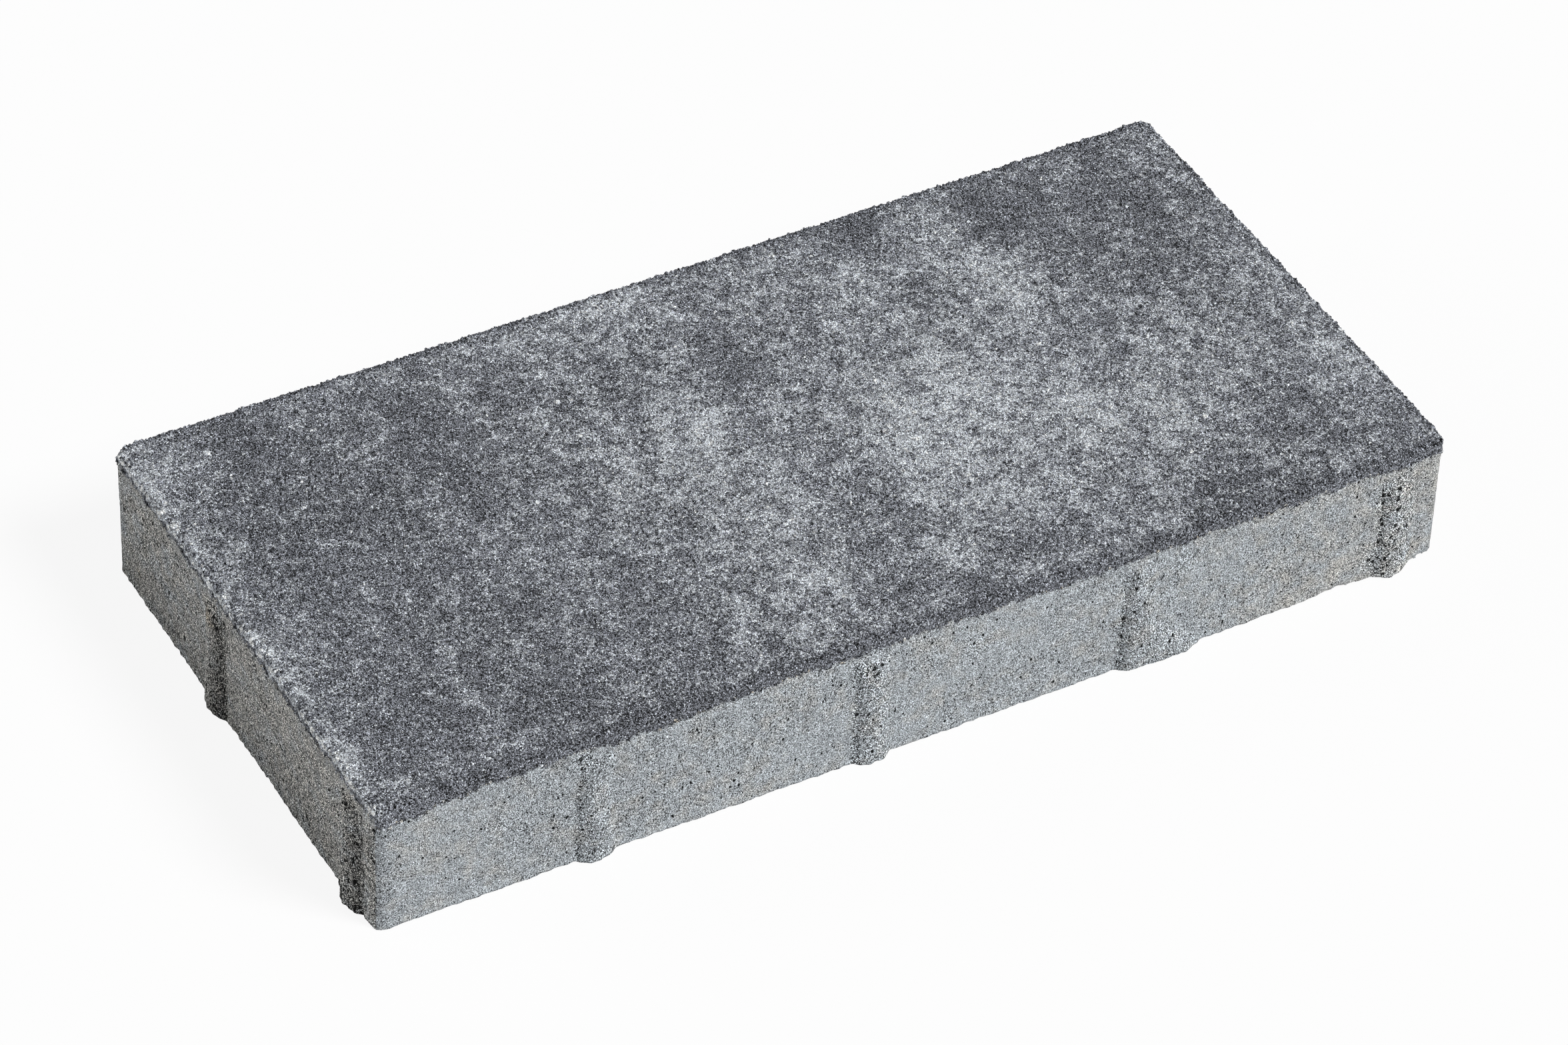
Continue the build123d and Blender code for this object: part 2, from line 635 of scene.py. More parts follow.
@dataclass
class Skin:
    """A closed skin of small cells over a box, which is then given the block's form.

    The main face is the one that shows, and gets the larger share of the map that a bake uses.
    """

    block: Block
    name: str
    low: float
    high: float
    main_face_up: bool

    def sheet(self) -> bmesh.types.BMesh:
        """The cells over the box, with square edges. Each kind of skin has its own."""
        raise NotImplementedError

    def form(self, x: float, y: float, z: float) -> tuple[Vector, dict[str, float]]:
        """The place and the attributes of a vertex of the box. Each kind of skin has its own."""
        raise NotImplementedError

    def wall(self, bm: bmesh.types.BMesh, rim: list, heights: list[float]) -> list:
        """Extrudes a rim into rings at the given heights and returns the last ring's edges.

        Args:
            bm: The mesh under work.
            rim: The edges to start from.
            heights: The rings' heights, in order.

        Returns:
            The last ring's edges.
        """
        for height in heights:
            made = bmesh.ops.extrude_edge_only(bm, edges=rim)["geom"]
            ring = [item for item in made if isinstance(item, bmesh.types.BMVert)]
            for vertex in ring:
                vertex.co.z = height
            rim = [item for item in made if isinstance(item, bmesh.types.BMEdge) and item.is_boundary]
        return rim

    def close(self, bm: bmesh.types.BMesh, rim: list, insets: list[float]) -> None:
        """Closes a level face with rings that step in from its rim, and one face inside them.

        Args:
            bm: The mesh under work.
            rim: The face's edges.
            insets: The rings' distances from the rim, in order.
        """
        half_length, half_width = self.block.half_length, self.block.half_width
        before = 0.0
        for inset in insets:
            made = bmesh.ops.extrude_edge_only(bm, edges=rim)["geom"]
            ring = [item for item in made if isinstance(item, bmesh.types.BMVert)]
            shrink = (
                (half_length - inset) / (half_length - before),
                (half_width - inset) / (half_width - before),
                1.0,
            )
            bmesh.ops.scale(bm, vec=shrink, verts=ring)
            rim = [item for item in made if isinstance(item, bmesh.types.BMEdge) and item.is_boundary]
            before = inset
        bmesh.ops.edgeloop_fill(bm, edges=rim)

    def lay_out(self, bm: bmesh.types.BMesh) -> None:
        """Unfolds the box into a map: the main face, over it the sides in rows, and the other face small.

        Args:
            bm: The finished box, before it is formed.
        """
        layer = bm.loops.layers.uv.new(BAKE_MAP)
        half_length, half_width = self.block.half_length, self.block.half_width
        scale = (1 - 2 * MAP_GAP) / self.block.length
        row = (self.high - self.low) * scale + MAP_GAP
        first = MAP_GAP * 2 + self.block.width * scale
        starts = {
            Side.FRONT: (MAP_GAP + half_length * scale, first),
            Side.BACK: (MAP_GAP + half_length * scale, first + row),
            Side.LEFT: (MAP_GAP + half_width * scale, first + 2 * row),
            Side.RIGHT: (2 * MAP_GAP + 3 * half_width * scale, first + 2 * row),
        }
        for face in bm.faces:
            way = face.normal
            if abs(way.z) > 0.5:
                main = (way.z > 0) is self.main_face_up
                size = scale if main else HIDDEN_SIZE * scale
                start = MAP_GAP if main else first + 3 * row
                for loop in face.loops:
                    u = MAP_GAP + (loop.vert.co.x + half_length) * size
                    loop[layer].uv = (u, start + (loop.vert.co.y + half_width) * size)
                continue
            if abs(way.x) > abs(way.y):
                side = Side.RIGHT if way.x > 0 else Side.LEFT
            else:
                side = Side.BACK if way.y > 0 else Side.FRONT
            left, base = starts[side]
            for loop in face.loops:
                place = loop.vert.co
                u = side.along(place.x, place.y)
                loop[layer].uv = (left + u * scale, base + (place.z - self.low) * scale)

    def build(self, material: bpy.types.Material) -> bpy.types.Object:
        """Makes the skin's piece and sets it in the frame.

        Args:
            material: The finish that the piece wears.

        Returns:
            The piece.
        """
        bm = self.sheet()
        bmesh.ops.recalc_face_normals(bm, faces=bm.faces)
        self.lay_out(bm)
        layers = {name: bm.verts.layers.float.new(name) for name in ATTRIBUTES}
        for vertex in bm.verts:
            place, values = self.form(*vertex.co)
            vertex.co = place * MM
            for name, value in values.items():
                vertex[layers[name]] = value
        mesh = bpy.data.meshes.new(self.name)
        bm.to_mesh(mesh)
        bm.free()
        mesh.shade_smooth()
        return set_in_frame(self.name, mesh, material)

    def shared_values(self, side: Side, x: float, y: float, z: float) -> dict[str, float]:
        """The attributes that both skins work out alike.

        Args:
            side: The side.
            x, y, z: The place in the square-cornered box, in millimetres.

        Returns:
            The attributes by name.
        """
        warm = 0.06 + swells(WARM_CLOUDS, x, y, z)
        if side is Side.FRONT:
            warm += 0.55 * smooth(x, 110, 290)
        elif side is Side.LEFT:
            # Painted warm cast on the left side, standing in for the warmer light in its shade; the rust
            # marks add to it.
            warm += 0.75 + sum(mark.at(y, z) for mark in RUST_MARKS)
        else:
            warm += 0.25
        return {
            WARM: clamp(warm, 0.0, 2.0),
            SEAM: z - self.block.seam_height(side, x, y),
            BLOOM: self.block.bloom(x, y),
            STAIN_AND_SHADE: 0.0,
        }


@dataclass
class WalkedFace(Skin):
    """The dark face mix: the walked face, its crumbled edge and the ragged strip under the edge."""

    cells_along: int = 412
    cells_across: int = 204
    crowding: float = 0.28
    strip: tuple[float, ...] = (0.8, 1.7, 2.7, 3.8, 5.0, 6.3, 7.6, 9.0, 10.4)
    proud: float = 0.28
    foot_inset: float = 6.0
    painted_margin_shade: float = 0.6
    pale_drop: float = 2.6

    def sheet(self) -> bmesh.types.BMesh:
        """A grid, crowded towards its edges, with a strip down round it.

        Returns:
            The box's cells.
        """
        bm = bmesh.new()
        bmesh.ops.create_grid(bm, x_segments=self.cells_along, y_segments=self.cells_across, size=1.0)
        for vertex in bm.verts:
            vertex.co = (
                self.block.half_length * self.crowd(vertex.co.x),
                self.block.half_width * self.crowd(vertex.co.y),
                self.high,
            )
        rim = [edge for edge in bm.edges if edge.is_boundary]
        rim = self.wall(bm, rim, [self.high - drop for drop in self.strip] + [self.low])
        self.close(bm, rim, [self.foot_inset])
        return bm

    def crowd(self, share: float) -> float:
        """Sets the grid's lines closer together towards the edges."""
        return (1 - self.crowding) * share + self.crowding * math.sin(share * math.pi / 2)

    def form(self, x: float, y: float, z: float) -> tuple[Vector, dict[str, float]]:
        """Rounds the edge, raises the grains and tucks the strip's foot behind the core mix.

        Args:
            x, y, z: The place in the square-cornered box, in millimetres.

        Returns:
            The vertex's place in millimetres, and its attributes by name.
        """
        block = self.block
        side = block.side_at(x, y)
        flat_x, flat_y = block.round_corner(x, y)
        way_x, way_y, inset = block.outward(flat_x, flat_y)
        drop = block.thickness - z
        radius = block.walked_edge(x, y)
        new_inset, new_drop, rise = eased(inset, drop, radius)
        run = math.sqrt(max(0.0, 1 - rise * rise))
        seam = block.seam_height(side, x, y)
        grain = block.face_relief(flat_x, flat_y, inset) if rise > 0 else 0.0
        lap = self.proud - 1.3 * smooth(seam - z, -0.4, 1.2) if drop > 0 else self.proud
        stand = run * (block.wall_relief(side, x, y, z, 0.0) + lap + swells(STRIP_GRAIN, x, y, z))
        out = inset - new_inset + stand
        height = block.thickness - new_drop + rise * grain
        place = Vector((flat_x + way_x * out, flat_y + way_y * out, height))
        values = self.shared_values(side, x, y, z)
        # The face's low places get a higher hollow, which paints shade into them.
        values[HOLLOW] = clamp(0.5 - 2.0 * (grain + block.face_sink)) if rise > 0 else 0.3
        values[BLOOM] += self.margin_bloom(side, x, y, inset, drop)
        return place, values

    def margin_bloom(self, side: Side, x: float, y: float, inset: float, drop: float) -> float:
        """What the face mix's margin adds to its tone: paler on the left, and painted shade on the others.

        Args:
            side: The side that the margin belongs to.
            x, y: The place in the square-cornered plan.
            inset: How far in from the side it lies.
            drop: How far under the walked face it lies.

        Returns:
            The change in the tone.
        """
        on_strip = drop > 0.1
        if side is not Side.LEFT:
            # Painted shade on the rounded edge and the strip under it, on all but the left side.
            return -self.painted_margin_shade * (1.0 if on_strip else smooth(4 - inset, 0, 3))
        if not on_strip:
            return (0.3 + swells(PALE_MARGIN, x, y)) * smooth(9 - inset, 0, 7)
        pale_to = self.pale_drop + swells(PALE_LIMIT, x, y)
        pale = 0.6 + 1.8 * smooth(swells(PALE_TUFTS, x, y), -0.6, 0.3)
        return pale - 2.3 * smooth(drop, pale_to - 0.3, pale_to + 1.2)


@dataclass
class Core(Skin):
    """The grey core mix: the four sides with their nibs, and the bed face."""

    cell: float = 1.26
    top_inset: float = 4.0
    bed_rings: tuple[float, ...] = (1.2, 2.6, 4.5, 7.5, 12.0)
    left_wear: float = 0.8
    bed_tones: tuple[tuple[str, float], ...] = ((STAIN_AND_SHADE, 0.04), (HOLLOW, 0.4), (WARM, 0.45))

    def sheet(self) -> bmesh.types.BMesh:
        """A rim round the bed face, raised in rings, and closed below and above.

        Returns:
            The box's cells.
        """
        block = self.block
        bm = bmesh.new()
        bmesh.ops.create_grid(bm, x_segments=1, y_segments=1, size=1.0)
        for vertex in bm.verts:
            vertex.co = (block.half_length * vertex.co.x, block.half_width * vertex.co.y, self.low)
        bmesh.ops.delete(bm, geom=list(bm.faces), context="FACES_ONLY")
        long_edges = [edge for edge in bm.edges if edge.calc_length() > block.length - 1]
        short_edges = [edge for edge in bm.edges if edge not in long_edges]
        for edges, run in ((long_edges, block.length), (short_edges, block.width)):
            bmesh.ops.subdivide_edges(bm, edges=edges, cuts=round(run / self.cell) - 1)
        rim = list(bm.edges)
        tall = self.high - self.low
        rings = round(tall / self.cell)
        heights = [self.low + tall * (ring + 1) / rings for ring in range(rings)]
        self.close(bm, self.wall(bm, rim, heights), [self.top_inset])
        self.close(bm, [edge for edge in bm.edges if edge.is_boundary], list(self.bed_rings))
        return bm

    def form(self, x: float, y: float, z: float) -> tuple[Vector, dict[str, float]]:
        """Rounds the corners, raises the nibs, crumbles the bed edge and tucks the top in.

        Args:
            x, y, z: The place in the square-cornered box, in millimetres.

        Returns:
            The vertex's place in millimetres, and its attributes by name.
        """
        block = self.block
        side = block.side_at(x, y)
        flat_x, flat_y = block.round_corner(x, y)
        way_x, way_y, inset = block.outward(flat_x, flat_y)
        new_inset, new_z, _ = eased(inset, z, block.bed_edge(x, y))
        seam = block.seam_height(side, x, y)
        nib, stain_and_shade, crumble = block.nib_relief(side, x, y, z)
        along = side.along(x, y)
        crumble += sum(comb.at(along, z) for comb in HONEYCOMBS if comb.side is side)
        relief = block.wall_relief(side, x, y, z, crumble)
        tuck = 0.9 * smooth(z - seam, -0.2, 1.0) + (0.6 if z > self.high - 0.5 else 0.0)
        out = inset - new_inset + math.exp(-inset / 5) * (relief + nib) - tuck
        place = Vector((flat_x + way_x * out, flat_y + way_y * out, new_z))
        values = self.shared_values(side, x, y, z)
        # Stains and painted shade: darker nib flanks, painted shade in nib creases and under the face mix's
        # lap.
        values[STAIN_AND_SHADE] = stain_and_shade + self.shade(side, x, y, seam - z)
        wear = self.left_wear if side is Side.LEFT else 0.0
        # The side's low places get a higher hollow, and with it more and darker painted pores.
        values[HOLLOW] = clamp(0.2 - 0.35 * relief + crumble + wear, 0.0, 3.0)
        inner = smooth(inset, 1, 11)
        for name, plain in self.bed_tones:
            values[name] += (plain - values[name]) * inner
        return place, values

    def shade(self, side: Side, x: float, y: float, under_seam: float) -> float:
        """How much darker than its mix a side is at a place, nibs apart.

        Args:
            side: The side.
            x, y: The place in the square-cornered plan.
            under_seam: How far under the seam the place lies.

        Returns:
            The change in brightness.
        """
        if side is Side.FRONT:
            # Darker towards the left end of the front, and at its left corner.
            return 0.02 * smooth(-x, 20, 220) + 0.03 * smooth(-x, 284, 297)
        if side is Side.LEFT:
            # Painted shade in a line under the face mix's lap, and darker next to the front left corner.
            return 0.02 * hump(under_seam, 1.6, 2.2) + 0.05 * smooth(-y, 138, 143)
        return 0.0


@dataclass
class Grains:
    """Crushed grains that stand half out of a skin, joined in one piece. Each kind seats its own."""

    skin: WalkedFace
    name: str
    count: int
    smallest: float
    largest: float
    batch: int = 200
    stretch: float = 1.25
    map_fill: float = 0.36

    def seat(self, pick: random.Random) -> tuple[Vector, Vector, dict[str, float]]:
        """The place, the way out and the attributes of the next grain, in millimetres."""
        raise NotImplementedError

    def shape(self, pick: random.Random, radius: float) -> Matrix:
        """A random turn and three unlike radii.

        Args:
            pick: The random numbers that the grains share.
            radius: The grain's rough radius.

        Returns:
            The turn and the radii as one matrix.
        """
        turn = Matrix.Rotation(pick.uniform(0, math.tau), 4, "Z")
        lean = Matrix.Rotation(pick.uniform(0, 3), 4, "X")
        limits = ((0.8, self.stretch), (0.6, 1.0), (0.5, 0.9))
        sizes = [radius * pick.uniform(least, most) for least, most in limits]
        return turn @ lean @ Matrix.Diagonal((*sizes, 1))

    def unfold(
        self, faces: list, layer: bmesh.types.BMLayerItem, number: int, centre: Vector, way: Vector
    ) -> None:
        """Gives a grain two squares of the map, one for its outer half and one for its buried half.

        Args:
            faces: The grain's faces.
            layer: The map.
            number: The grain's number, which picks its squares.
            centre: Its middle, in metres.
            way: The way out of the skin.
        """
        across = math.ceil(math.sqrt(2 * self.count))
        scale = self.map_fill / (across * self.largest * self.stretch * MM)
        right = way.orthogonal().normalized()
        up = way.cross(right)
        for face in faces:
            buried = face.normal.dot(way) < 0
            row, column = divmod(2 * number + int(buried), across)
            for loop in face.loops:
                apart = loop.vert.co - centre
                u = (column + 0.5) / across + apart.dot(right) * scale
                v = (row + 0.5) / across + apart.dot(up) * scale
                loop[layer].uv = (u, v)

    def build(self, material: bpy.types.Material) -> bpy.types.Object:
        """Makes the grains in batches, and joins the batches to one piece.

        Args:
            material: The finish that the grains wear.

        Returns:
            The piece.
        """
        pick = random.Random(self.name)
        whole = bmesh.new()
        for first in range(0, self.count, self.batch):
            part = bmesh.new()
            layer = part.loops.layers.uv.new(BAKE_MAP)
            layers = {name: part.verts.layers.float.new(name) for name in ATTRIBUTES}
            for number in range(first, min(first + self.batch, self.count)):
                centre, way, values = self.seat(pick)
                radius = pick.uniform(self.smallest**0.5, self.largest**0.5) ** 2
                centre = (centre + way * radius * pick.uniform(-0.35, 0.1)) * MM
                place = Matrix.Translation(centre) @ Matrix.Scale(MM, 4) @ self.shape(pick, radius)
                made = bmesh.ops.create_icosphere(part, subdivisions=1, radius=1.0, matrix=place)["verts"]
                for vertex in made:
                    vertex.co += Vector([pick.uniform(-0.12, 0.12) for _ in range(3)]) * radius * MM
                    for name, value in values.items():
                        vertex[layers[name]] = value
                faces = list({face for vertex in made for face in vertex.link_faces})
                for face in faces:
                    face.normal_update()
                self.unfold(faces, layer, number, centre, way)
            mesh = bpy.data.meshes.new("batch")
            part.to_mesh(mesh)
            part.free()
            whole.from_mesh(mesh)
            bpy.data.meshes.remove(mesh)
        mesh = bpy.data.meshes.new(self.name)
        whole.to_mesh(mesh)
        whole.free()
        return set_in_frame(self.name, mesh, material)


@dataclass
class FaceGrains(Grains):
    """Grains all over the walked face."""

    margin: float = 3.0

    def seat(self, pick: random.Random) -> tuple[Vector, Vector, dict[str, float]]:
        """A place on the walked face, away from its edges.

        Args:
            pick: The random numbers that the grains share.

        Returns:
            The place, the way out and the attributes.
        """
        block = self.skin.block
        x = pick.uniform(-1, 1) * (block.half_length - self.margin)
        y = pick.uniform(-1, 1) * (block.half_width - self.margin)
        place, values = self.skin.form(x, y, block.thickness)
        values[SEAM] = DEEP
        values[HOLLOW] = pick.uniform(0.0, 0.6)
        values[BLOOM] += pick.choice((-1.0, -0.3, 0.6, 1.6))
        return place, Vector((0, 0, 1)), values


@dataclass
class PaleChips(Grains):
    """Pale chips, larger than the grains, sunk here and there in the walked face."""

    margin: float = 8.0
    sunk: float = 0.9

    def seat(self, pick: random.Random) -> tuple[Vector, Vector, dict[str, float]]:
        """A place a little under the walked face, away from its edges.

        Args:
            pick: The random numbers that the grains share.

        Returns:
            The place, the way out and the attributes.
        """
        block = self.skin.block
        x = pick.uniform(-1, 1) * (block.half_length - self.margin)
        y = pick.uniform(-1, 1) * (block.half_width - self.margin)
        place, values = self.skin.form(x, y, block.thickness)
        values[SEAM] = DEEP
        values[HOLLOW] = 0.0
        values[BLOOM] += pick.uniform(1.4, 2.4)
        return place - Vector((0, 0, self.sunk)), Vector((0, 0, 1)), values


@dataclass
class EdgeGrains(Grains):
    """Grains round the walked edge and along the seam, and crumbs of the core mix at the bed edge."""

    bed_share: float = 0.2
    seam_share: float = 0.25
    core_share: float = 0.3

    def seat(self, pick: random.Random) -> tuple[Vector, Vector, dict[str, float]]:
        """A place at the walked edge, at the seam or at the bed edge.

        Args:
            pick: The random numbers that the grains share.

        Returns:
            The place, the way out and the attributes.
        """
        block = self.skin.block
        side, x, y = block.on_outline(pick.uniform(0, 2 * (block.length + block.width)))
        share = pick.random()
        if share < self.bed_share:
            return self.at_bed(pick, side, x, y)
        core_share = 0.0
        if share < self.bed_share + self.seam_share:
            core_share = self.core_share
            place, way, values = self.at_seam(pick, side, x, y)
        else:
            place, way, values = self.at_edge(pick, x, y)
        values[SEAM] = DEEP if pick.random() > core_share else -DEEP
        values[HOLLOW] = pick.uniform(0.0, 0.9)
        values[BLOOM] += pick.choice((-1.0, -0.3, 0.5, 1.2))
        return place, way, values

    def out_of(self, x: float, y: float) -> tuple[float, float, Vector]:
        """Carries a place on the outline to the rounded outline.

        Args:
            x, y: A place on the square-cornered outline.

        Returns:
            The rounded outline's x and y there, and the way out of it.
        """
        flat_x, flat_y = self.skin.block.round_corner(x, y)
        way_x, way_y, _ = self.skin.block.outward(flat_x, flat_y)
        return flat_x, flat_y, Vector((way_x, way_y, 0.0))

    def at_bed(
        self, pick: random.Random, side: Side, x: float, y: float
    ) -> tuple[Vector, Vector, dict[str, float]]:
        """A crumb of the core mix at the bed edge.

        Args:
            pick: The random numbers that the grains share.
            side: The side.
            x, y: A place on the square-cornered outline.

        Returns:
            The place, the way out and the attributes.
        """
        block = self.skin.block
        flat_x, flat_y, way = self.out_of(x, y)
        height = pick.uniform(0.8, 3.0)
        stand = block.nib_relief(side, x, y, height)[0] + block.wall_relief(side, x, y, height, 0.0)
        stand -= 0.35 * block.bed_edge(x, y) + 0.5
        values = self.skin.shared_values(side, x, y, height)
        values[HOLLOW] = pick.uniform(0.0, 0.5)
        return Vector((flat_x, flat_y, height)) + way * stand, way, values

    def at_seam(
        self, pick: random.Random, side: Side, x: float, y: float
    ) -> tuple[Vector, Vector, dict[str, float]]:
        """A grain on the strip, near the seam.

        Args:
            pick: The random numbers that the grains share.
            side: The side.
            x, y: A place on the square-cornered outline.

        Returns:
            The place, the way out and the attributes.
        """
        block = self.skin.block
        height = block.seam_height(side, x, y) + pick.uniform(-0.6, 1.6)
        place, values = self.skin.form(x, y, min(height, block.thickness))
        values[WARM] = pick.uniform(0.4, 2.0)
        return place, self.out_of(x, y)[2], values

    def at_edge(self, pick: random.Random, x: float, y: float) -> tuple[Vector, Vector, dict[str, float]]:
        """A grain on the arc of the walked edge.

        Args:
            pick: The random numbers that the grains share.
            x, y: A place on the square-cornered outline.

        Returns:
            The place, the way out and the attributes.
        """
        way = self.out_of(x, y)[2]
        lean = pick.random()
        inset = 2.6 * lean**1.5
        place, values = self.skin.form(x - way.x * inset, y - way.y * inset, self.skin.block.thickness)
        return place, Vector((way.x * (1 - lean), way.y * (1 - lean), 0.4 + lean)).normalized(), values


class Wire:
    """A shader socket that carries a number, so that sums of masks read as plain arithmetic."""

    def __init__(self, web: "Web", socket: bpy.types.NodeSocket) -> None:
        """Wraps one output socket of a web's node."""
        self.web = web
        self.socket = socket

    def __add__(self, other: "Wire | float") -> "Wire":
        """Sum."""
        return self.web.maths("ADD", self, other)

    __radd__ = __add__

    def __sub__(self, other: "Wire | float") -> "Wire":
        """Difference."""
        return self.web.maths("SUBTRACT", self, other)

    def __rsub__(self, other: float) -> "Wire":
        """Difference from a number."""
        return self.web.maths("SUBTRACT", other, self)

    def __mul__(self, other: "Wire | float") -> "Wire":
        """Product."""
        return self.web.maths("MULTIPLY", self, other)

    __rmul__ = __mul__

    def __gt__(self, other: "Wire | float") -> "Wire":
        """1 where greater, otherwise 0."""
        return self.web.maths("GREATER_THAN", self, other)


class Web:
    """The nodes of one material, with short ways to add the ones that stone needs."""

    def __init__(self, name: str) -> None:
        """Starts a material with only its output.

        Args:
            name: The material's name.
        """
        self.material = bpy.data.materials.new(name)
        self.material.use_nodes = True
        self.tree = self.material.node_tree
        self.tree.nodes.clear()
        self.output = self.node("ShaderNodeOutputMaterial")

    def node(self, kind: str, settings: dict | None = None, sockets: dict | None = None) -> bpy.types.Node:
        """Adds one node.

        Args:
            kind: The node's type.
            settings: Its properties, set first.
            sockets: Values or links for its inputs, by name or by number.

        Returns:
            The node.
        """
        made = self.tree.nodes.new(kind)
        for name, value in (settings or {}).items():
            setattr(made, name, value)
        for name, value in (sockets or {}).items():
            socket = made.inputs[name]
            if isinstance(value, Wire):
                self.tree.links.new(value.socket, socket)
            elif isinstance(value, bpy.types.NodeSocket):
                self.tree.links.new(value, socket)
            else:
                socket.default_value = value
        return made

    def maths(self, operation: str, *values: "Wire | float") -> Wire:
        """One Math node on two or three values."""
        made = self.node("ShaderNodeMath", {"operation": operation}, dict(enumerate(values)))
        return Wire(self, made.outputs[0])

    def step(self, value: Wire, start: float, end: float) -> Wire:
        """A soft step from 0 at start to 1 at end."""
        made = self.node(
            "ShaderNodeMapRange",
            {"interpolation_type": "SMOOTHSTEP"},
            {"Value": value, "From Min": start, "From Max": end},
        )
        return Wire(self, made.outputs["Result"])

    def attribute(self, name: str) -> Wire:
        """A number that the piece's vertices hold."""
        return Wire(self, self.node("ShaderNodeAttribute", {"attribute_name": name}).outputs["Fac"])

    def places(self, size: tuple[float, float, float] = (1, 1, 1)) -> bpy.types.NodeSocket:
        """The piece's own coordinates in millimetres, each divided by a stretch.

        Args:
            size: How far the places are stretched each way.

        Returns:
            The places.
        """
        coordinates = self.node("ShaderNodeTexCoord").outputs["Object"]
        scale = tuple(1 / (MM * stretch) for stretch in size)
        made = self.node("ShaderNodeVectorMath", {"operation": "MULTIPLY"}, {0: coordinates, 1: scale})
        return made.outputs["Vector"]

    def warped(self, places: bpy.types.NodeSocket, size: float, reach: float) -> bpy.types.NodeSocket:
        """Places shifted about by noise, so that the cells in them lose their straight sides.

        Args:
            places: The places.
            size: Width of the noise's swells.
            reach: How far it shifts a place at most.

        Returns:
            The shifted places.
        """
        swirl = self.node(
            "ShaderNodeTexNoise",
            {"noise_dimensions": "3D"},
            {"Vector": places, "Scale": 1 / size, "Detail": 1.0},
        )
        shift = self.node(
            "ShaderNodeVectorMath",
            {"operation": "SUBTRACT"},
            {0: swirl.outputs["Color"], 1: (0.5, 0.5, 0.5)},
        )
        made = self.node(
            "ShaderNodeVectorMath",
            {"operation": "MULTIPLY_ADD"},
            {0: shift.outputs["Vector"], 1: (reach * 2, reach * 2, reach * 2), 2: places},
        )
        return made.outputs["Vector"]

    def cloud(
        self, places: bpy.types.NodeSocket, size: float, detail: float = 1.0, crispness: float = 0.55
    ) -> Wire:
        """Noise with swells of that size in millimetres, centred on 0."""
        made = self.node(
            "ShaderNodeTexNoise",
            {"noise_dimensions": "3D"},
            {"Vector": places, "Scale": 1 / size, "Detail": detail, "Roughness": crispness},
        )
        return Wire(self, made.outputs["Fac"]) - 0.5

    def grains(self, places: bpy.types.NodeSocket, size: float) -> tuple[Wire, Wire, Wire]:
        """Cells that fill space, such as packed grains do.

        Args:
            places: Where the cells lie.
            size: Their width.

        Returns:
            Distance from the cell's middle, and two random numbers of the cell.
        """
        made = self.node("ShaderNodeTexVoronoi", {}, {"Vector": places, "Scale": 1 / size})
        parts = self.node("ShaderNodeSeparateColor", {}, {"Color": made.outputs["Color"]})
        picks = (Wire(self, parts.outputs[number]) for number in range(2))
        return Wire(self, made.outputs["Distance"]), *picks

    def tinted(self, level: Wire, tint: bpy.types.NodeSocket) -> bpy.types.NodeSocket:
        """A colour of that tint whose brightness, as the eye grades it, is the level.

        Args:
            level: The brightness.
            tint: The tint.

        Returns:
            The colour.
        """
        light = self.maths("POWER", self.maths("MAXIMUM", level, 0.02), 2.2)
        made = self.node("ShaderNodeVectorMath", {"operation": "SCALE"}, {0: tint, "Scale": light})
        return made.outputs["Vector"]

    def blend(self, share: Wire, first: object, second: object) -> bpy.types.NodeSocket:
        """A colour that goes from the first to the second as share goes from 0 to 1."""
        made = self.node("ShaderNodeMix", {"data_type": "RGBA"}, {0: share, 6: first, 7: second})
        return made.outputs[2]


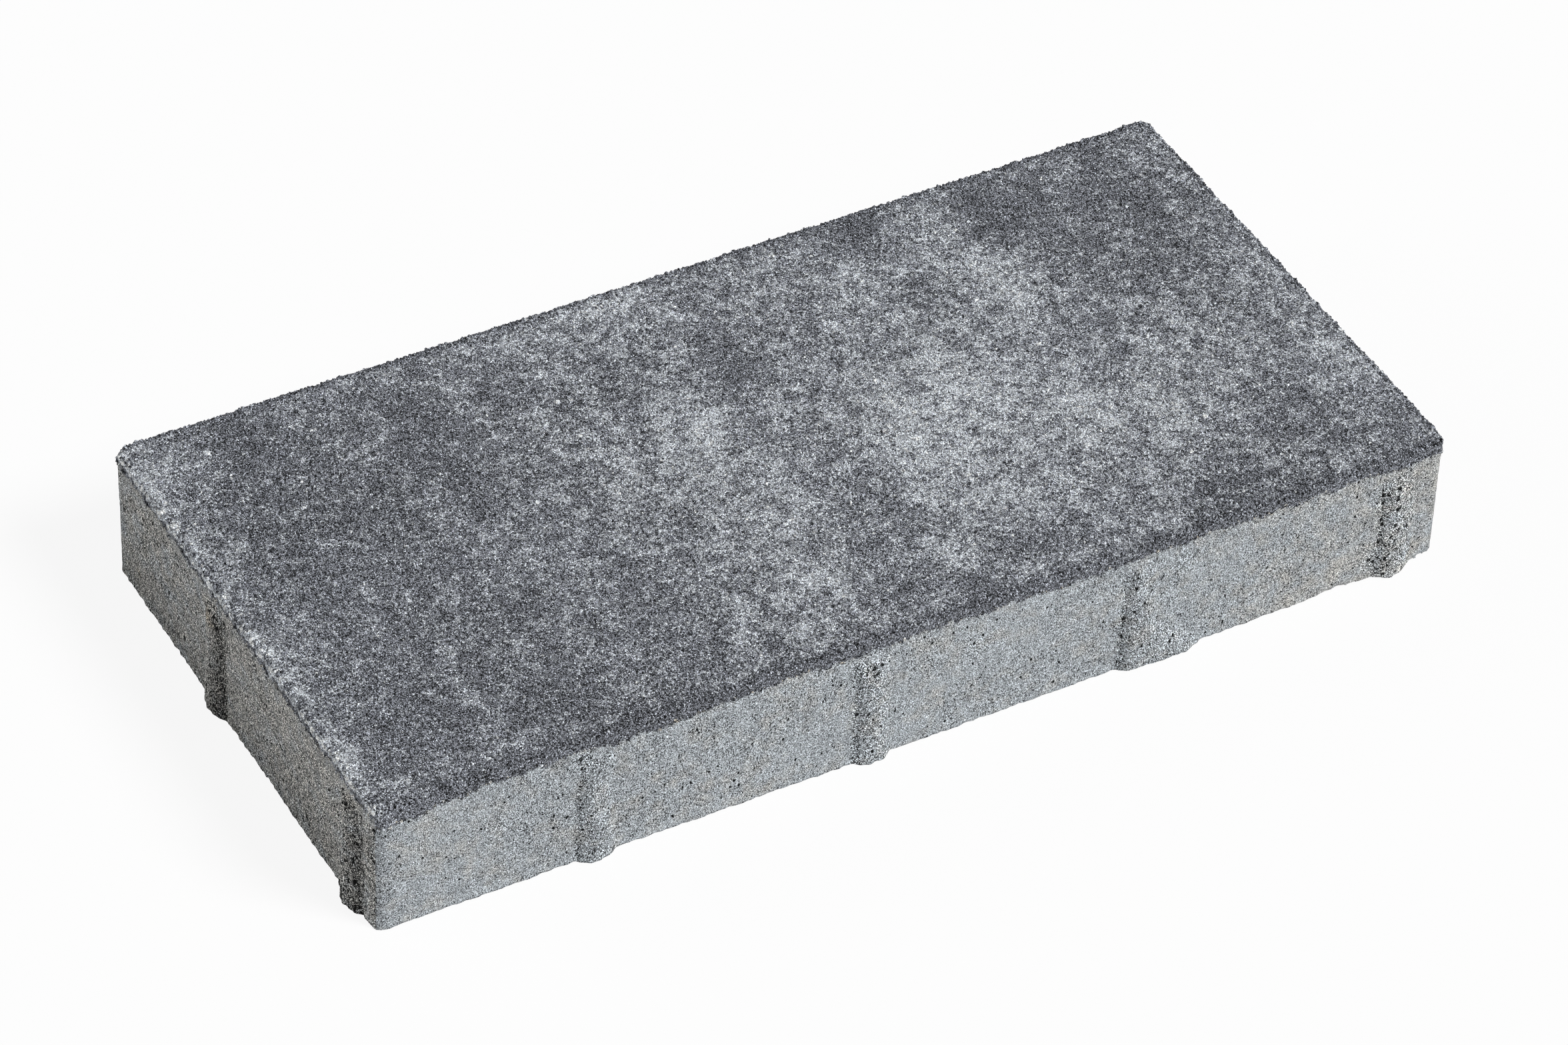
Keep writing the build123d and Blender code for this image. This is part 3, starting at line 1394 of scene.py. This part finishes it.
@dataclass(frozen=True)
class FaceMix:
    """The face mix: a dark paste of fine crushed grains, with paler crumbs and sandy flakes in drifts.

    Sizes are in millimetres. Levels are brightnesses as the eye grades them, gains add to them and losses
    take from them.
    """

    dark_tint: tuple[float, float, float] = (0.935, 0.985, 1.11)
    pale_tint: tuple[float, float, float] = (0.95, 1.0, 1.06)
    sandy_tint: tuple[float, float, float] = (1.0, 1.0, 0.975)
    grain_size: float = 1.5
    drift_size: float = 8.0
    crumb_size: float = 1.7
    flake_size: float = 3.0
    pit_size: float = 0.8
    level: float = 0.476
    bloom_gain: float = 0.04
    haze_gain: float = 0.06
    pale_gain: float = 0.256
    sand_gain: float = 0.69
    grain_gain: float = 0.10
    flake_gain: float = 0.12
    painted_glint_gain: float = 0.28
    gap_loss: float = 0.14
    pit_loss: float = 0.46
    hollow_loss: float = 0.10
    flake_share: float = 0.8
    grain_rise: float = 0.14
    sand_rise: float = 0.07
    pit_drop: float = 0.25
    drift_rise: float = 0.25

    def paint(
        self, web: Web, at: bpy.types.NodeSocket, sand: tuple[Wire, Wire, Wire]
    ) -> tuple[bpy.types.NodeSocket, Wire]:
        """Paints the mix.

        Args:
            web: The material's nodes.
            at: Places in millimetres, a little warped.
            sand: The sand's cells: distance from the middle, and two random numbers.

        Returns:
            The mix's colour and its height.
        """
        fine_gap, fine_pick, fine_tone = sand
        gap, _, tone = web.grains(at, self.grain_size)
        bloom = web.attribute(BLOOM)
        drift = web.cloud(at, self.drift_size, 3.0, 0.6)
        haze = web.step(drift + 0.14 * bloom, -0.08, 0.12)
        crumbs = web.cloud(at, self.crumb_size, 5.0, 0.75) + 0.06 * (tone - 0.5) + 0.05 * (fine_pick - 0.5)
        pale = web.step(crumbs + 0.35 * drift + 0.10 * bloom, 0.0, 0.03)
        flake = web.step(web.cloud(at, self.flake_size, 4.0, 0.65) + 0.08 * bloom, 0.14, 0.165)
        pit = web.step(web.cloud(at, self.pit_size, 3.0, 0.75) - 0.06 * (1 - pale), 0.10, 0.15)
        # Painted glints: white specks at the middles of some sand grains, standing in for their sparkle.
        painted_glint = web.step(fine_tone, 0.945, 0.96) * web.step(0.5 - fine_gap, 0.0, 0.15)
        level = self.level + self.bloom_gain * bloom + self.haze_gain * haze + self.pale_gain * pale
        level = level + self.sand_gain * (fine_tone - 0.5) + self.grain_gain * (tone - 0.5)
        level = level + self.flake_gain * flake + self.painted_glint_gain * painted_glint
        # Gaps between sand grains darker, partly their darker paste and partly painted shade; painted shade
        # in the pits.
        level = level - self.gap_loss * web.step(fine_gap, 0.45, 0.8) - self.pit_loss * pit
        # Painted shade in the face's low places; on the grains the hollow attribute is a random tone.
        level = level - self.hollow_loss * web.attribute(HOLLOW)
        cool = web.blend(pale, (*self.dark_tint, 1), (*self.pale_tint, 1))
        tint = web.blend(self.flake_share * flake, cool, (*self.sandy_tint, 1))
        height = self.grain_rise * web.step(0.75 - gap, 0.0, 0.6)
        height = height + self.sand_rise * web.step(0.7 - fine_gap, 0.0, 0.6)
        return web.tinted(level, tint), height - self.pit_drop * pit + self.drift_rise * drift


@dataclass(frozen=True)
class CoreMix:
    """The core mix: packed sand with open pores and a few voids, dragged upright by the mould.

    Sizes are in millimetres. Levels are brightnesses as the eye grades them, gains add to them and losses
    take from them. Those that are named worn grow with the hollow attribute.
    """

    cool_tint: tuple[float, float, float] = (0.93, 1.0, 1.055)
    warm_tint: tuple[float, float, float] = (1.01, 1.0, 0.955)
    rust_tint: tuple[float, float, float] = (1.14, 0.98, 0.76)
    loose_size: float = 7.0
    pore_size: float = 0.52
    void_size: float = 2.4
    drag_size: float = 2.2
    broad_size: float = 30.0
    warm_size: float = 9.0
    most_worn: float = 1.1
    level: float = 0.717
    worn_gain: float = 0.035
    sand_gain: float = 0.34
    worn_sand_gain: float = 0.60
    broad_gain: float = 0.02
    drag_gain: float = 0.03
    worn_drag_gain: float = 0.12
    painted_glint_gain: float = 0.20
    gap_loss: float = 0.10
    loose_loss: float = 0.07
    pore_loss: float = 0.56
    worn_pore_loss: float = 0.52
    void_loss: float = 0.70
    rust_from: float = 1.4
    sand_rise: float = 0.10
    drag_rise: float = 0.08
    pore_drop: float = 0.30
    void_drop: float = 0.9

    def voids(self, web: Web, upright: bpy.types.NodeSocket, hollow: Wire, worn: Wire) -> Wire:
        """1 inside the voids, which are more and larger where the mix packed badly, otherwise 0.

        Args:
            web: The material's nodes.
            upright: Places in millimetres, stretched upright.
            hollow: The hollow attribute.
            worn: The same, up to its limit.

        Returns:
            The voids as a mask.
        """
        gap, pick, tone = web.grains(web.warped(upright, 0.9, 0.8), self.void_size)
        reach = 0.05 + (0.22 + 0.26 * worn) * tone
        return web.step(reach - gap, 0.0, 0.06) * (pick + 0.26 * hollow > 0.925)

    def paint(
        self, web: Web, at: bpy.types.NodeSocket, sand: tuple[Wire, Wire, Wire]
    ) -> tuple[bpy.types.NodeSocket, Wire]:
        """Paints the mix.

        Args:
            web: The material's nodes.
            at: Places in millimetres, a little warped.
            sand: The sand's cells: distance from the middle, and two random numbers.

        Returns:
            The mix's colour and its height.
        """
        fine_gap, fine_pick, fine_tone = sand
        hollow = web.attribute(HOLLOW)
        worn = web.maths("MINIMUM", hollow, self.most_worn)
        upright = web.places((1, 1, 1.2))
        loose = web.cloud(at, self.loose_size, 2.0)
        pore = web.cloud(upright, self.pore_size, 1.0, 0.6) + 0.10 * loose + 0.05 * worn
        pore = web.step(pore, 0.08, 0.105)
        void = self.voids(web, upright, hollow, worn)
        drag = web.cloud(web.places((1, 1, 9)), self.drag_size)
        # Darker by the stains and the painted shade that the vertices hold.
        level = self.level - web.attribute(STAIN_AND_SHADE) + self.worn_gain * worn
        level = level + (self.sand_gain + self.worn_sand_gain * worn) * (fine_tone - 0.5)
        level = level + (self.drag_gain + self.worn_drag_gain * worn) * drag
        level = level + self.broad_gain * web.cloud(at, self.broad_size, 2.0) - self.loose_loss * loose
        # Painted glints: white specks on some sand grains, standing in for their sparkle.
        level = level + self.painted_glint_gain * web.step(fine_pick, 0.96, 0.975)
        # Gaps between sand grains darker, partly paste and partly painted shade.
        level = level - self.gap_loss * web.step(fine_gap, 0.5, 0.8)
        # Painted shade in the pores and the voids, darker where the mix is open.
        level = level - (self.pore_loss + self.worn_pore_loss * worn) * pore - self.void_loss * void
        warm = web.attribute(WARM) + 2.4 * web.cloud(at, self.warm_size, 2.0)
        tint = web.blend(warm, (*self.cool_tint, 1), (*self.warm_tint, 1))
        tint = web.blend(warm - self.rust_from, tint, (*self.rust_tint, 1))
        height = self.sand_rise * web.step(0.7 - fine_gap, 0.0, 0.6) + self.drag_rise * drag
        return web.tinted(level, tint), height - self.pore_drop * pore - self.void_drop * void


@dataclass(frozen=True)
class PressedConcrete:
    """The slab's finish: face mix above the ragged seam and core mix below it, as one rough stone."""

    face_mix: FaceMix = FaceMix()
    core_mix: CoreMix = CoreMix()
    warp_size: float = 0.9
    warp_reach: float = 0.35
    sand_size: float = 0.5
    ragged_size: float = 3.0
    ragged_reach: float = 6.4
    grainy_reach: float = 1.6
    seam_blur: float = 0.15
    rough: float = 0.92
    gloss: float = 0.25

    def material(self) -> bpy.types.Material:
        """Mixes the two and makes the shader.

        Returns:
            The material.
        """
        web = Web("pressed_concrete")
        at = web.warped(web.places(), self.warp_size, self.warp_reach)
        sand = web.grains(at, self.sand_size)
        face_colour, face_height = self.face_mix.paint(web, at, sand)
        core_colour, core_height = self.core_mix.paint(web, at, sand)
        over_seam = web.attribute(SEAM) + self.grainy_reach * (sand[1] - 0.5)
        over_seam = over_seam + self.ragged_reach * web.cloud(at, self.ragged_size, 3.0, 0.7)
        share = web.step(over_seam, -self.seam_blur, self.seam_blur)
        height = core_height + share * (face_height - core_height)
        bump = web.node("ShaderNodeBump", {}, {"Height": height, "Distance": MM, "Strength": 1.0})
        shader = web.node(
            "ShaderNodeBsdfPrincipled",
            {},
            {
                "Base Color": web.blend(share, core_colour, face_colour),
                "Roughness": self.rough,
                "Specular IOR Level": self.gloss,
                "Normal": bump.outputs[0],
            },
        )
        web.tree.links.new(shader.outputs[0], web.output.inputs["Surface"])
        return web.material


@dataclass(frozen=True)
class Studio:
    """The pale floor, the soft lights and the camera."""

    azimuth: float = -30.389
    elevation: float = 41.296
    distance: float = 3251.2
    roll: float = 2.474
    lens: float = 149.171
    aim: tuple[float, float, float] = (-6.4, -13.8, 39.0)
    key_towards: tuple[float, float, float] = (0.45, -0.60, 0.73)
    key_level: float = 0.98
    key_softness: float = 22.0
    fill_towards: tuple[float, float, float] = (-0.80, 0.50, 0.33)
    fill_level: float = 0.20
    fill_softness: float = 32.0
    sky_level: float = 0.14
    floor_half: float = 6000.0
    floor_drop: float = 0.3
    floor_tone: float = 0.92
    floor_glow: float = 0.90

    def camera(self) -> None:
        """Sets up the camera at the photograph's angle."""
        data = bpy.data.cameras.new("camera")
        data.lens = self.lens
        data.sensor_width = 36.0
        data.clip_end = 100.0
        turn, lift = math.radians(self.azimuth), math.radians(self.elevation)
        back = Vector((math.sin(turn) * math.cos(lift), -math.cos(turn) * math.cos(lift), math.sin(lift)))
        holder = bpy.data.objects.new("camera", data)
        place = Matrix.Translation((Vector(self.aim) + back * self.distance) * MM)
        facing = (-back).to_track_quat("-Z", "Y").to_matrix().to_4x4()
        holder.matrix_world = place @ facing @ Matrix.Rotation(math.radians(self.roll), 4, "Z")
        bpy.context.scene.collection.objects.link(holder)
        bpy.context.scene.camera = holder

    def lamp(self, name: str, towards: tuple[float, float, float], level: float, softness: float) -> None:
        """One soft light from far off.

        Args:
            name: Its name.
            towards: The way from the slab to the light.
            level: Its strength on a surface that faces it, where 1 shows a colour as it is written.
            softness: Its width as seen from the slab, in degrees.
        """
        data = bpy.data.lights.new(name, "SUN")
        data.energy = level * math.pi
        data.angle = math.radians(softness)
        light = bpy.data.objects.new(name, data)
        light.rotation_euler = (-Vector(towards)).to_track_quat("-Z", "Y").to_euler()
        bpy.context.scene.collection.objects.link(light)

    def lights(self) -> None:
        """A soft key from the front right, a weak fill from behind on the left, and an even sky."""
        self.lamp("key", self.key_towards, self.key_level, self.key_softness)
        self.lamp("fill", self.fill_towards, self.fill_level, self.fill_softness)
        world = bpy.data.worlds.new("sky")
        world.use_nodes = True
        world.node_tree.nodes["Background"].inputs["Color"].default_value = (1, 1, 1, 1)
        world.node_tree.nodes["Background"].inputs["Strength"].default_value = self.sky_level
        bpy.context.scene.world = world

    def floor(self) -> None:
        """A white floor that keeps the slab's shadow and looks white to the camera."""
        bm = bmesh.new()
        bmesh.ops.create_grid(bm, x_segments=2, y_segments=2, size=self.floor_half * MM)
        bmesh.ops.translate(bm, vec=(0, 0, -self.floor_drop * MM), verts=bm.verts)
        mesh = bpy.data.meshes.new("floor")
        bm.to_mesh(mesh)
        bm.free()
        web = Web("floor_white")
        matt = web.node(
            "ShaderNodeBsdfDiffuse", {}, {"Color": (self.floor_tone, self.floor_tone, self.floor_tone, 1)}
        )
        glow = web.node("ShaderNodeEmission", {}, {"Color": (1, 1, 1, 1), "Strength": 1.0})
        seen = Wire(web, web.node("ShaderNodeLightPath").outputs["Is Camera Ray"])
        mix = web.node(
            "ShaderNodeMixShader", {}, {0: seen * self.floor_glow, 1: matt.outputs[0], 2: glow.outputs[0]}
        )
        web.tree.links.new(mix.outputs[0], web.output.inputs["Surface"])
        mesh.materials.append(web.material)
        floor = bpy.data.objects.new("floor", mesh)
        bpy.context.scene.collection.objects.link(floor)

    def build(self) -> None:
        """Sets up the whole studio."""
        self.camera()
        self.lights()
        self.floor()
        bpy.context.scene.view_settings.view_transform = "Standard"


def cast_block() -> Block:
    """The block's form, with its outer sizes taken from the frame.

    Returns:
        The block.
    """
    low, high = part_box(NODE)
    proud = Block(0, 0, 0).nib_proud
    return Block(
        length=(high[0] - low[0]) / MM - 2 * proud,
        width=(high[1] - low[1]) / MM - 2 * proud,
        thickness=(high[2] - low[2]) / MM,
    )


def write_sizes() -> None:
    """Updates the view layer."""
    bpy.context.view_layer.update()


def main() -> None:
    """Builds the studio and the slab's pieces."""
    logging.basicConfig(level=logging.INFO, format="%(name)s: %(message)s")
    Studio().build()
    block = cast_block()
    concrete = PressedConcrete().material()
    face = WalkedFace(block, "walked_face", block.thickness - 12.0, block.thickness, True)
    face.build(concrete)
    FaceGrains(face, "face_grains", 8000, 0.35, 1.1).build(concrete)
    PaleChips(face, "pale_chips", 60, 1.2, 2.2).build(concrete)
    EdgeGrains(face, "edge_grains", 6000, 0.4, 1.3).build(concrete)
    Core(block, "core", 0.0, block.thickness - 2.2, False).build(concrete)
    write_sizes()


if __name__ == "__main__":
    main()
